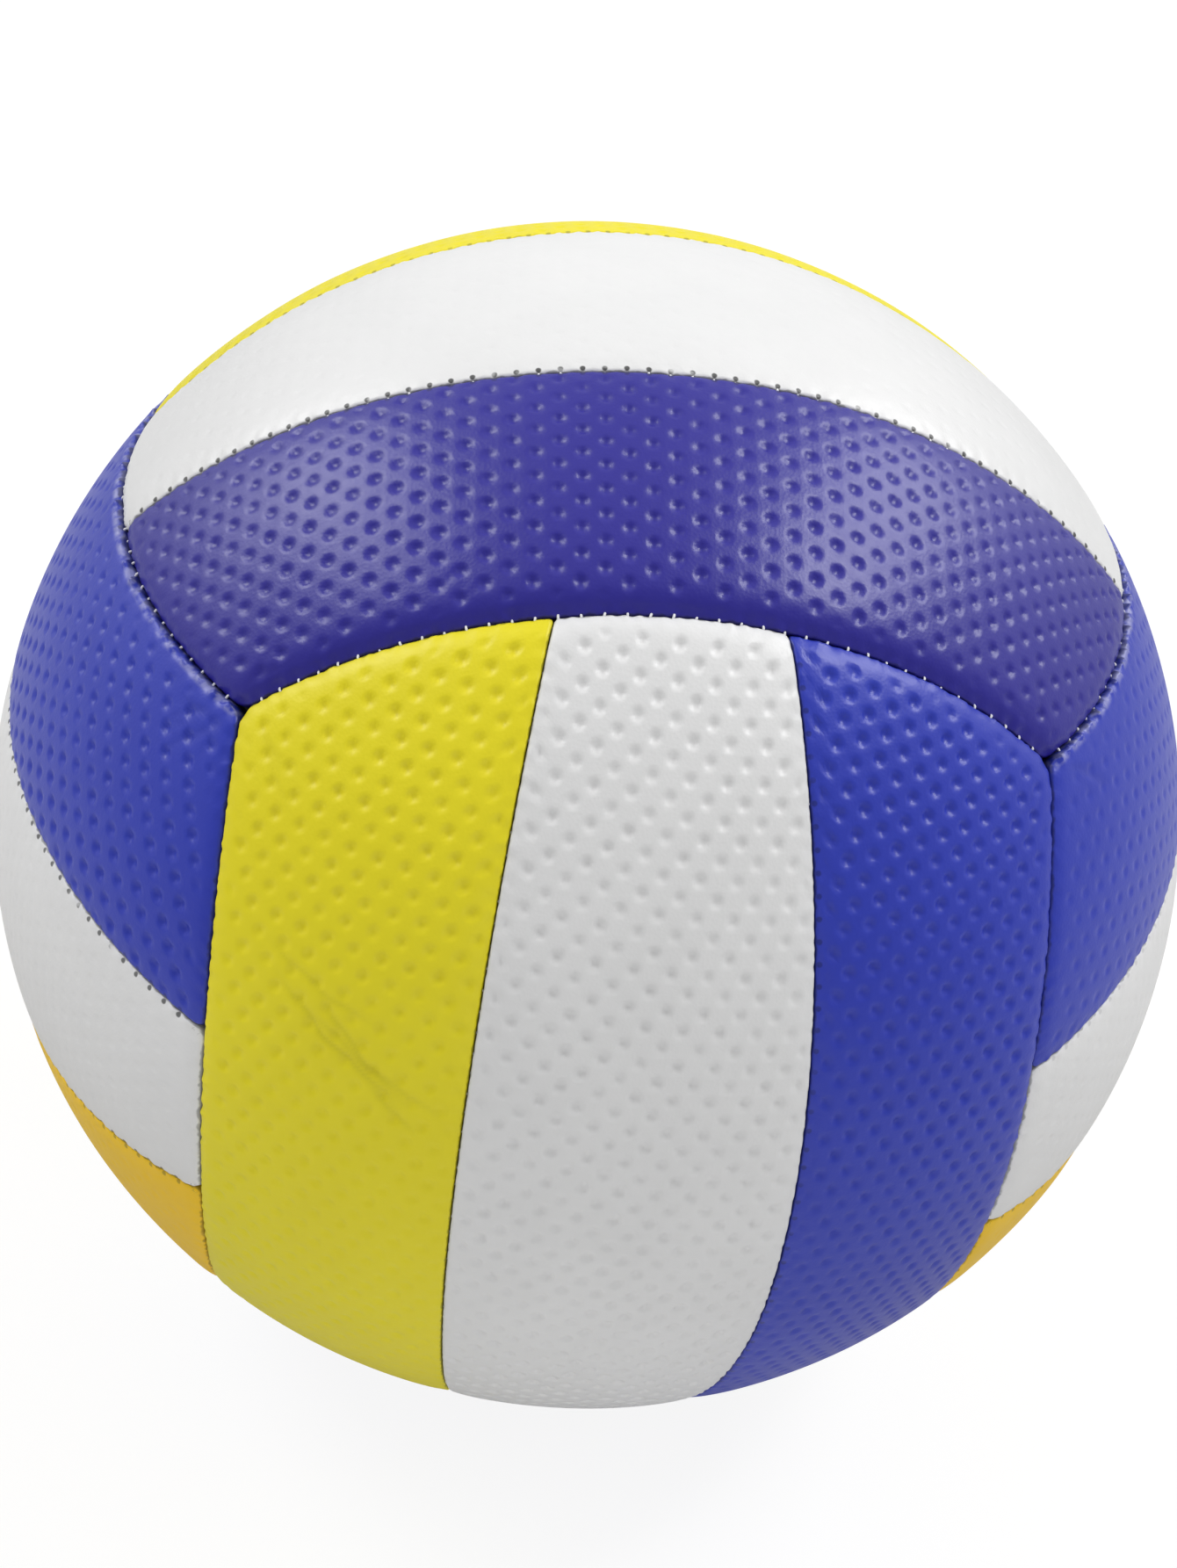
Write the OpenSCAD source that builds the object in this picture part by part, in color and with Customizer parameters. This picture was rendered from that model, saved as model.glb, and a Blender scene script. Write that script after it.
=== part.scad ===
// Stitched volleyball: 18 padded panels in six groups of three strips, an inflated bladder and a valve.
// The origin is the centre of the ball. +Z is up, and the front group of panels faces -Y.
// Every seam follows a plane section of the ball, and its walls point at the ball's centre.

/* [Ball] */
// Diameter over the panels
ball_d = 210; // [200:0.5:220]
// Radius of the rolled edge of a panel
edge_r = 2; // [1.6:0.1:2.4]
// Rounding of the corners of a panel, seen from outside
corner_r = 3.5; // [2.5:0.5:5]
// Space between the turned-in edges of two panels
seam_gap = 0.3; // [0.25:0.05:0.5]

/* [Seam layout in shares of the ball radius] */
// How far the long side of a group bows outwards
bow_share = 0.128; // [0.08:0.01:0.18]
// Half the width that a middle strip would have at the centre of the ball
middle_share = 0.029; // [0.01:0.005:0.05]
// How fast a middle strip widens towards its middle
flare_share = 0.219; // [0.18:0.01:0.26]

/* [Laminate] */
// Thickness of the synthetic leather skin
skin_t = 0.8; // [0.6:0.1:1]
// Thickness of the foam pad
foam_t = 2.2; // [1.5:0.1:3.5]
// Thickness of the cloth lining
lining_t = 0.5; // [0.3:0.1:0.8]
// Glue line between two layers
glue_t = 0.1; // [0.05:0.05:0.15]

/* [Bladder] */
// Wall of the rubber bladder
bladder_t = 0.8; // [0.5:0.1:1.5]
// Space between the lining and the bladder
bladder_gap = 0.2; // [0.1:0.05:0.3]

/* [Valve] */
// Diameter of the needle bore
needle_bore_d = 1.9; // [1.6:0.1:2.2]
// Length of the needle bore, from the face of the plug to its lips
needle_bore_l = 10; // [8:0.5:12]
// Diameter of the plug
plug_d = 5; // [4.4:0.2:5.6]
// Length of the lips at the inner end of the plug
lips_l = 4; // [3:0.5:6]
// Thickness of the two lips together at their tip
lips_t = 1.6; // [1.4:0.1:2]
// Width of the slit between the lips
slit_w = 0.2; // [0.1:0.05:0.3]
// Length of the slit across the lips
slit_l = 3.2; // [2.6:0.1:3.6]
// How far the retaining bead stands out of the plug
bead_h = 0.6; // [0.4:0.1:0.8]
// Length of the retaining bead along the plug
bead_l = 2; // [1.5:0.1:2.5]
// How deep the bead starts below the face of the plug
bead_depth = 3; // [2:0.5:4]
// Diameter of the nose of the housing, which shows in the cover
nose_d = 8.4; // [8.2:0.2:12]
// How deep the face of the nose lies under the surface of the ball
nose_depth = 0.4; // [0.2:0.1:1.5]
// Diameter of the boot of the housing at its inner end
boot_d = 7.4; // [7:0.2:8.2]
// Diameter of the flange, which is bonded inside the bladder
flange_d = 26; // [20:1:34]
// Thickness of the flange
flange_t = 1.2; // [0.8:0.1:2]
// Clearance round each piece of the valve
valve_gap = 0.1; // [0.05:0.05:0.2]

/* [Seam thread] */
// Diameter of the sewing thread
thread_d = 0.8; // [0.5:0.1:1]
// Clearance between the thread and the rolled edges
thread_gap = 0.2; // [0.15:0.05:0.3]
// Length that a thread stops short of the point where seams meet
thread_end = 2.5; // [2:0.5:5]

/* [Hidden] */
royal_blue = [0.23, 0.27, 0.63];
indigo = [0.24, 0.23, 0.57];
white = [0.9, 0.9, 0.9];
lemon = [0.85, 0.8, 0.15];
gold = [0.81, 0.67, 0.23];
foam_grey = [0.78, 0.78, 0.74];
cloth_white = [0.88, 0.87, 0.82];
thread_white = [0.93, 0.93, 0.9];
rubber_black = [0.1, 0.1, 0.1];
rubber_grey = [0.3, 0.3, 0.31];

// Each group: its name, its turn from the base group, and the names and colours of its strips.
// The base group faces +Z, its strips run along Y, and they are counted from -X to +X.
GROUPS = [
    ["front", [90, 0, 0], ["left", "middle", "right"], [lemon, white, royal_blue]],
    ["back", [90, 0, 180], ["right", "middle", "left"], [royal_blue, white, lemon]],
    ["top", [0, 0, 90], ["front", "middle", "back"], [indigo, white, lemon]],
    ["bottom", [180, 0, 90], ["front", "middle", "back"], [indigo, white, lemon]],
    ["left", [0, -90, 0], ["lower", "middle", "upper"], [gold, white, royal_blue]],
    ["right", [0, 90, 0], ["upper", "middle", "lower"], [royal_blue, white, gold]]
];
STRIPS = [0, 1, 2];
MIDDLE = 1;
VALVE_GROUP = "back";

function node_of(kind, group, strip) = str(kind, "_", group[0], "_", group[2][strip]);
function lining_of(group) = str("lining_", group[0]);

$fn = 180;
// Flat faces along the long side of a strip, along its end and round its corner
long_steps = 10;
end_steps = 3;
corner_steps = 2;
// Flat faces in the round of a skin's edge, of a pad's edge and of a lining's edge
skin_steps = 3;
foam_steps = 1;
lining_steps = 0;
// Least rounding of a corner
corner_min = 0.4;
// Overrun of every cutting body
overrun = 1;

// Radii of the layers, from the outside in
ball_r = ball_d / 2;
foam_r = ball_r - skin_t - glue_t;
lining_r = foam_r - foam_t - glue_t;
back_r = lining_r - lining_t;
bladder_r = back_r - bladder_gap;
bladder_in_r = bladder_r - bladder_t;
far_r = 2 * ball_r;
// How far a pad and a lining stand back from the wall of their seam
pad_back = seam_gap / 2 + skin_t + glue_t;

// A seam is a plane that cuts a ball of radius 1: its axis, which points to the strip's side, and the
// product of the axis with any of the plane's points. Three groups meet where x, y and z are alike.
side_share = (1 - bow_share) / sqrt(3);

function unit(v) = v / norm(v);

function plus_side(strip) =
    strip == MIDDLE ? [[-1, 0, flare_share], -middle_share]
    : strip > MIDDLE ? [[-1, 0, bow_share], -side_share]
    : [[-1, 0, -flare_share], middle_share];

function minus_side(strip) =
    let(seam = plus_side(2 * MIDDLE - strip))
    [[-seam[0].x, 0, seam[0].z], seam[1]];

// The four seams of a strip, anticlockwise from its side towards +X
function seams_of(strip) = [
    plus_side(strip),
    [[0, -bow_share, 1], side_share],
    minus_side(strip),
    [[0, bow_share, 1], side_share]
];

// Plane of a seam moved over the surface by inset: its unit axis and its distance from the centre
function moved(seam, inset) =
    [unit(seam[0]), sin(asin(seam[1] / norm(seam[0])) + inset / ball_r * 180 / PI)];

// Point of the ball of radius 1 where two planes meet on the side of +Z
function meet(p, q) =
    let(
        c = p[0] * q[0],
        a = (p[1] - c * q[1]) / (1 - c * c),
        b = (q[1] - c * p[1]) / (1 - c * c),
        foot = a * p[0] + b * q[0],
        along = cross(p[0], q[0]),
        reach = sqrt((1 - foot * foot) / (along * along)),
        one = foot + reach * along,
        other = foot - reach * along
    )
    one.z > other.z ? one : other;

// Point at a share of the way between two points of the circle in which a plane cuts the ball
function on_seam(plane, from, to, share) =
    let(
        centre = plane[0] * plane[1],
        chord = from + (to - from) * share
    )
    centre + sqrt(1 - plane[1] * plane[1]) * unit(chord - centre);

// Outline of a strip moved in by inset, anticlockwise from outside, as directions from the centre
function outline(strip, inset) =
    let(
        planes = [for (seam = seams_of(strip)) moved(seam, inset)],
        corners = [for (i = [0 : 3]) meet(planes[(i + 3) % 4], planes[i])],
        trim = max(corner_r - inset, corner_min) / ball_r
    )
    [
        for (i = [0 : 3])
            let(
                from = corners[i],
                to = corners[(i + 1) % 4],
                next = corners[(i + 2) % 4],
                cut = trim / norm(to - from),
                steps = i % 2 == 0 ? long_steps : end_steps,
                leave = on_seam(planes[i], from, to, 1 - cut),
                enter = on_seam(planes[(i + 1) % 4], to, next, trim / norm(next - to))
            )
            each concat(
                [for (j = [0 : steps - 1]) on_seam(planes[i], from, to, cut + (1 - 2 * cut) * j / steps)],
                [
                    for (j = [0 : corner_steps - 1])
                        let(turn = 90 * j / corner_steps)
                        unit(to + (leave - to) * (1 - sin(turn)) + (enter - to) * (1 - cos(turn)))
                ]
            )
    ];

// Rings of a wedge as inset and radius: the wall stands back from the seam, its edge rolls over with
// radius round up to the layer's radius r, and the last ring lies past the layer's surface
function rings(r, back, round, steps) =
    steps == 0 ? [[back, r + overrun]] :
    let(
        arc = [
            for (i = [0 : steps])
                let(turn = 90 * i / steps)
                [back + round * (1 - cos(turn)), r - round * (1 - sin(turn))]
        ],
        chord = arc[steps] - arc[steps - 1]
    )
    concat(
        [for (i = [0 : steps - 1]) arc[i]],
        [arc[steps] + overrun * unit(chord)]
    );

// Wedge between the four seams of a strip, from the centre of the ball to past its surface
module wedge(strip, r, back, round, steps) {
    loops = [for (ring = rings(r, back, round, steps)) ring[1] * outline(strip, ring[0])];
    n = len(loops[0]);
    last = len(loops) - 1;
    apex = 1 + len(loops) * n;
    polyhedron(
        points = concat(
            [[0, 0, 0]],
            [for (loop = loops) each loop],
            [far_r * unit(loops[0][0] + loops[0][floor(n / 2)])]
        ),
        faces = [
            for (j = [0 : n - 1])
                let(k = (j + 1) % n)
                each concat(
                    [[0, 1 + j, 1 + k]],
                    [for (i = [0 : 1 : last - 1]) each [
                        [1 + i * n + k, 1 + i * n + j, 1 + (i + 1) * n + k],
                        [1 + (i + 1) * n + k, 1 + i * n + j, 1 + (i + 1) * n + j]
                    ]],
                    [[1 + last * n + k, 1 + last * n + j, apex]]
                )
        ]
    );
}

// Ball whose poles lie clear of the strips
module ball(r) {
    rotate([0, 90, 0])
        sphere(r);
}

// The part of a layer, from radius outer_r down to inner_r, that lies between the seams of a strip
module layer(strip, outer_r, inner_r, back, round, steps) {
    intersection() {
        difference() {
            ball(outer_r);
            ball(inner_r);
        }
        wedge(strip, outer_r, back, round, steps);
    }
}

// Cuts the valve's hole in the strip that holds the valve
module round_valve(group, strip) {
    if (group[0] == VALVE_GROUP && strip == MIDDLE)
        difference() {
            children();
            cylinder(d = nose_d + 2 * valve_gap, h = far_r);
        }
    else
        children();
}

// Skin of one panel, with its seam allowances turned in along its four sides
module panel(group, strip) {
    color(group[3][strip])
        rotate(group[1])
            round_valve(group, strip)
                difference() {
                    layer(strip, ball_r, back_r, seam_gap / 2, edge_r, skin_steps);
                    intersection() {
                        ball(ball_r - skin_t);
                        wedge(strip, ball_r - skin_t, seam_gap / 2 + skin_t, edge_r - skin_t, skin_steps);
                    }
                }
}

// Foam pad under one skin, between its seam allowances
module foam(group, strip) {
    color(foam_grey)
        rotate(group[1])
            round_valve(group, strip)
                layer(strip, foam_r, lining_r + glue_t, pad_back, edge_r - skin_t - glue_t, foam_steps);
}

// Cloth lining behind the three pads of one group
module lining(group) {
    color(cloth_white)
        rotate(group[1])
            for (strip = STRIPS)
                round_valve(group, strip)
                    layer(strip, lining_r, back_r, pad_back, 0, lining_steps);
}

// Depth at which a thread rests between two rolled edges
thread_depth = edge_r - sqrt(
    pow(edge_r + thread_d / 2 + thread_gap, 2) - pow(edge_r + seam_gap / 2, 2)
);

// Angles of a group's long side and of a middle strip's side against the group's axis
bow_a = atan(bow_share);
flare_a = atan(flare_share);
// Rise of each seam's wall over the plane through the ball's centre square to the seam's axis
side_rise = asin(side_share * cos(bow_a));
strip_rise = asin(middle_share * cos(flare_a));
// Half the angle that each seam covers round its own axis
group_corner = meet(moved(seams_of(2)[0], 0), moved(seams_of(2)[1], 0));
strip_corner = meet(moved(seams_of(MIDDLE)[0], 0), moved(seams_of(MIDDLE)[1], 0));
side_half = asin(group_corner.x / cos(side_rise));
strip_half = asin(strip_corner.y / cos(strip_rise));

// Thread in the seam whose wall rises by rise, over half degrees each way
module thread_arc(rise, half) {
    r = ball_r - thread_depth;
    reach = half - thread_end / (ball_r * cos(rise)) * 180 / PI;
    color(thread_white)
        rotate([0, 0, -reach])
            rotate_extrude(angle = 2 * reach)
                translate([r * cos(rise), r * sin(rise)])
                    circle(d = thread_d);
}

// Thread of the two seams inside each group
module thread_strips() {
    for (group = GROUPS, side = [0, 180])
        rotate(group[1])
            rotate([0, 0, side])
                rotate([0, 90 + flare_a, 0])
                    rotate([0, 0, 180])
                        thread_arc(strip_rise, strip_half);
}

// Thread of the seams where the ends of each group meet its neighbours
module thread_groups() {
    for (group = GROUPS, side = [0, 180])
        rotate(group[1])
            rotate([0, 0, side])
                rotate([bow_a, 0, 0])
                    rotate([0, 0, 90])
                        thread_arc(side_rise, side_half);
}

module at_valve() {
    for (group = GROUPS)
        if (group[0] == VALVE_GROUP)
            rotate(group[1])
                children();
}

// Closed rubber ball that holds the air, open only round the nose of the valve
module bladder() {
    color(rubber_grey)
        at_valve()
            difference() {
                ball(bladder_r);
                ball(bladder_in_r);
                cylinder(d = nose_d + 2 * valve_gap, h = far_r);
            }
}

plug_face = ball_r - nose_depth;
plug_end = plug_face - needle_bore_l;
lips_end = plug_end - lips_l;
bead_top = plug_face - bead_depth;
flange_r = bladder_in_r - valve_gap;

// Outline of the plug from low up to high, made wider all round by grow
module plug_outline(low, high, grow) {
    r = plug_d / 2 + grow;
    polygon([
        [0, low],
        [r, low],
        [r, bead_top - bead_l - grow],
        [r + bead_h, bead_top - bead_l + bead_h - grow],
        [r + bead_h, bead_top + grow],
        [r, bead_top + grow],
        [r, high],
        [0, high]
    ]);
}

// Rubber housing: a nose in the cover, a flange bonded inside the bladder and a boot round the plug
module valve_housing() {
    color(rubber_black)
        at_valve()
            difference() {
                union() {
                    intersection() {
                        ball(flange_r);
                        difference() {
                            cylinder(d = flange_d, h = far_r);
                            ball(flange_r - flange_t);
                        }
                    }
                    rotate_extrude()
                        polygon([
                            [0, lips_end],
                            [boot_d / 2, lips_end],
                            [nose_d / 2, flange_r - flange_t],
                            [nose_d / 2, plug_face],
                            [0, plug_face]
                        ]);
                }
                rotate_extrude()
                    plug_outline(lips_end - overrun, plug_face + overrun, valve_gap);
            }
}

// Soft plug: a needle bore that ends in two lips, which the air pressure holds shut
module valve_plug() {
    lean = plug_d - lips_t;
    color(rubber_grey)
        at_valve()
            difference() {
                rotate_extrude()
                    plug_outline(lips_end, plug_face, 0);
                for (side = [0, 180])
                    rotate([90, 0, side])
                        linear_extrude(height = 2 * plug_d, center = true)
                            polygon([
                                [lips_t / 2, lips_end - overrun],
                                [lips_t / 2, lips_end],
                                [lips_t / 2 + lean, lips_end + 2 * lips_l],
                                [lips_t / 2 + lean, lips_end - overrun]
                            ]);
                translate([0, 0, plug_end])
                    cylinder(d = needle_bore_d, h = needle_bore_l + overrun);
                translate([-slit_w / 2, -slit_l / 2, lips_end - overrun])
                    cube([slit_w, slit_l, overrun + lips_l + slit_w]);
            }
}

for (group = GROUPS, strip = STRIPS)
    panel(group, strip);
for (group = GROUPS, strip = STRIPS)
    foam(group, strip);
for (group = GROUPS)
    lining(group);
thread_strips();
thread_groups();
bladder();
valve_housing();
valve_plug();
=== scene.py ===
import math
from functools import partial

import bpy
import numpy as np
from mathutils import Matrix, Vector


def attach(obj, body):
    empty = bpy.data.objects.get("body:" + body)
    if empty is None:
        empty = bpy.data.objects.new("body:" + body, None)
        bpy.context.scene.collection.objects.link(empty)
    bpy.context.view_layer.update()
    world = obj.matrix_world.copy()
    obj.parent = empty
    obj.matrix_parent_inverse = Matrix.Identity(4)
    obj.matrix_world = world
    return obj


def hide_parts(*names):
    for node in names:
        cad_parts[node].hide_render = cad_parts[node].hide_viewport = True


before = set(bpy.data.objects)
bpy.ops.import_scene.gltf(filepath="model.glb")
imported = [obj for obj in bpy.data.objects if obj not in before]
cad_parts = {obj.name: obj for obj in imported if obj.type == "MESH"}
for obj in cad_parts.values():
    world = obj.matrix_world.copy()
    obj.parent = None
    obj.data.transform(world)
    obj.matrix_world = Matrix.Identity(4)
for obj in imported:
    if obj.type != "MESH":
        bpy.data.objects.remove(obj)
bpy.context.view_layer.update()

# ---------------------------------------------------------------- sizes, in millimetres

BALL_R = 105.0
SKIN_R = 104.2  # underside of the skin
BACK_R = 101.3  # foot of the turned-in edges
WALL = 0.07  # half the space between two turned-in edges
ROLL_W, ROLL_D = 0.6, 0.5  # width and depth of a rolled edge
INSET = 3.6  # where the rings along the seams end and the grid begins
MESH_MM, QUICK_LARGER = 0.52, 1.6  # a face of the grid, and how much larger it is when quick
COARSE = 8  # faces across the underside
VALVE_HOLE_R, CUTTER_L, CUTTER_SIDES = 4.3, 20, 64  # hole for the valve's nose, and what cuts it

# Rounding of a panel's corners, beside a strip and at a group's corner
CORNER_R = {"strip": 0.7, "group": 1.9}
SIDE_CORNER_R = {"strip": 1.7, "group": 1.9}  # in the left and right groups

# How deep the skin sinks at a seam, over what width, how steeply, and how uneven its edge is. Some
# seams, by their number on the strip, differ: those between the front and the side groups lie flat
CROWN = {
    "strip": (0.42, 2.4, 1.0, 0.22),
    "group": (1.1, 1.6, 1.2, 0.5),
    "top_front 2": (1.5, 2.2, 1.5, 0.5),
    "left_upper 0": (0.45, 0.7, 1.6, 1.3),
    "right_upper 2": (0.45, 0.7, 1.6, 1.3),
}
for seam in ("front_left 2", "front_right 0", "left_upper 3", "right_upper 3"):
    CROWN[seam] = (0.55, 1.2, 1.2, 0.3)
for seam in ("left_middle 3", "left_lower 3", "right_middle 3", "right_lower 3"):
    CROWN[seam] = (0.45, 1.2, 1.2, 0.2)
UNEVEN_MM, UNEVEN_W = 2.0, 0.9  # wavelength of a seam's uneven edge, and its width

PUCKER_MM, LONG_PUCKER_MM = 4.6, 11  # wavelengths of the puckers square to a seam
PUCKER, LONG_PUCKER = 0.2, 0.6  # share of the fall by which they vary it, and the long ones' part
STITCH_MM = 3.3  # pitch of the stitches
DENT, DENT_R = 0.13, 1.5  # depth of a stitch's dent and its radius along the seam
DENT_OFF, DENT_W = 0.8, 1.0  # its distance from the seam and its width
WAVE, WAVE_MM = 0.06, 36  # height and length of the slow waves of the whole face
FALL_MOST = 0.74  # the face stays 0.06 above the skin's underside
EDGE_FREE, EDGE_FADE = 2.2, 1.2  # nearer to a seam than this it may fall 1 mm more, over this width

# Seam planes in shares of the ball's radius: a long side lies where x = offset + lean * z
BOW, MIDDLE_OFFSET, FLARE = 0.128, 0.029, 0.219
SIDE_OFFSET = (1 - BOW) / math.sqrt(3)
SIDES = [(-SIDE_OFFSET, -BOW), (-MIDDLE_OFFSET, -FLARE), (MIDDLE_OFFSET, FLARE), (SIDE_OFFSET, BOW)]


def turn(x, y, z):
    """Rotation about X, then Y, then Z, in degrees."""
    x, y, z = (Matrix.Rotation(math.radians(a), 3, axis) for a, axis in zip((x, y, z), "XYZ"))
    return np.array(z @ y @ x)


# A group: its turn, and its strips from -X to +X with their skins, seen with the group facing +Z
GROUPS = {
    "front": (turn(90, 0, 0), [("left", "lemon"), ("middle", "white"), ("right", "royal_blue")]),
    "back": (turn(90, 0, 180), [("right", "royal_blue"), ("middle", "white"), ("left", "lemon")]),
    "top": (turn(0, 0, 90), [("front", "indigo"), ("middle", "white"), ("back", "lemon")]),
    "bottom": (turn(180, 0, 90), [("front", "indigo"), ("middle", "white"), ("back", "lemon")]),
    "left": (turn(0, -90, 0), [("lower", "gold"), ("middle", "white"), ("upper", "royal_blue")]),
    "right": (turn(0, 90, 0), [("upper", "royal_blue"), ("middle", "white"), ("lower", "gold")]),
}

# Dimples of the embossed sheet, each place as across and along the strip: two steps of the lattice,
# one dimple, the depth, and the share by which the depth grows over 100 mm along
PLAIN = (4.2, 0.0), (2.1, 3.38), (1.1, 0.7)
PLAIN_LATTICE = (*PLAIN, 0.4, 0.0)
LATTICES = {
    "top_front": ((4.25, 0.0), (2.2, 3.4), (3.0, -0.25), 0.48, 0.0),
    "top_middle": ((4.6, -0.3), (2.45, 3.3), (3.1, -2.2), 0.08, 0.0),
    "front_left": ((4.32, -0.08), (2.17, 3.35), (3.5, -0.27), 0.38, 0.9),
    "front_middle": ((2.75, 2.55), (2.58, -2.91), (3.29, -0.94), 0.54, 0.1),
    "front_right": ((4.06, 0.15), (1.98, 3.34), (1.57, 2.46), 0.44, 0.8),
    "left_upper": ((4.75, -0.8), (-2.45, 3.88), (0.4, 2.8), 0.42, -0.7),
    "left_middle": (*PLAIN, 0.1, 0.0),
    "left_lower": (*PLAIN, 0.14, 0.0),
    "right_upper": ((4.23, 0.05), (1.93, 3.67), (0.0, -0.9), 0.2, 0.0),
    "right_middle": (*PLAIN, 0.1, 0.0),
    "right_lower": (*PLAIN, 0.14, 0.0),
}
DIMPLE_R = 1.22
DIMPLE_LEAST, DIMPLE_MORE = 0.8, 0.4  # shares of the depth: the least, and what chance adds
SCATTER = (12.9898, 78.233, 437.585)  # numbers that turn a dimple's two numbers into its chance
# No dimples this near to a seam, and the share of that over which they fade in
BARE, BARE_FADE = {"strip": 0.9, "group": 1.8}, 1.4

# Creases pressed into the sheet: both ends, each across and along the strip, and the depth
CREASES = {
    "front_left": [
        ((-14.2, 33.9), (13.0, 16.7), 0.28),
        ((-16.5, 37.1), (6.8, 29.5), 0.18),
        ((-6.5, 33.0), (12.8, 18.1), 0.26),
        ((-8.9, 30.6), (19.5, 17.0), 0.2),
        ((4.2, 21.3), (14.7, 14.0), 0.2),
    ],
    "top_front": [
        ((-20.7, 32.2), (-15.6, 27.4), 0.07),
        ((-18.7, 33.7), (-14.8, 30.2), 0.07),
        ((-20.1, 30.3), (-17.6, 25.9), 0.06),
        ((-17.7, 32.8), (-14.1, 28.8), 0.06),
        ((-19.2, 29.3), (-16.8, 25.2), 0.06),
    ],
    "left_upper": [
        ((28.0, -64.7), (18.7, -63.4), 0.12),
        ((27.3, -63.6), (19.2, -67.4), 0.1),
        ((27.0, -61.3), (17.8, -57.2), 0.12),
        ((27.9, -65.8), (21.1, -70.7), 0.1),
    ],
}
CREASE_W, CREASE_FULL = 0.45, 0.3  # half the width, and the depth at which the painted shade is fullest
CREASE_WANDER = ((0.35, 3.1), (0.2, 1.3))  # how far it strays, and over what length
CREASE_ENDS = 3  # one over the share of the length in which an end fades

# Short folds at a group's corners: how many, and how far in from both seams they set out. Then from
# least to most: their angle in radians, their length, how much later they start, and their depth
FOLDS, FOLD_INSET = 4, 2.5
FOLD_ANGLE, FOLD_LENGTH, FOLD_START, FOLD_DEPTH = (0.2, 1.35), (6, 13), (0, 3), (0.05, 0.14)

# How dark the painted shade in the needle holes beside a strip's seams is. A group's seams show
# none
HOLES = {
    "top_middle": 1.0,
    "left_middle": 0.9,
    "left_upper": 0.5,
    "right_middle": 0.2,
    "right_upper": 0.2,
    "front_middle": 0.0,
    "front_left": 0.0,
}
PLAIN_HOLES = 0.5
CORNER_MM = 3  # this near to a second seam, the place along the first stays between two stitches

# Seams, by their number on the strip, whose rolled edge gets a pale painted highlight
SHEEN_SEAMS = ("left_upper 0", "right_upper 2")

# Share of a distance from the seam that the leather reads: dark lines are wider at a group's seams
NEARNESS = {"strip": 1.0, "group": 0.6}


def unit(v):
    """Each vector over its own length."""
    return v / np.linalg.norm(v, axis=-1, keepdims=True)


def shifted(rise, mm):
    """Distance from the centre of a seam's plane once its circle is moved by mm over the ball."""
    return np.sin(np.arcsin(rise) + mm / BALL_R)


def meet(u, a, v, b):
    """Where the planes u.p = a and v.p = b cut the unit sphere: the foot of the planes' common
    line, plus the reach along that line to the sphere on the side of +Z."""
    c = (u * v).sum(-1)
    foot = ((a - c * b) / (1 - c * c))[..., None] * u + ((b - c * a) / (1 - c * c))[..., None] * v
    line = np.cross(u, v)
    reach = np.sqrt((1 - (foot * foot).sum(-1)) / (line * line).sum(-1))
    return foot + (np.sign(line[..., 2]) * reach)[..., None] * line


def root(a, b, c):
    """The larger root of a x^2 + b x + c."""
    return (-b + np.sqrt(b * b - 4 * a * c)) / (2 * a)


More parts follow.
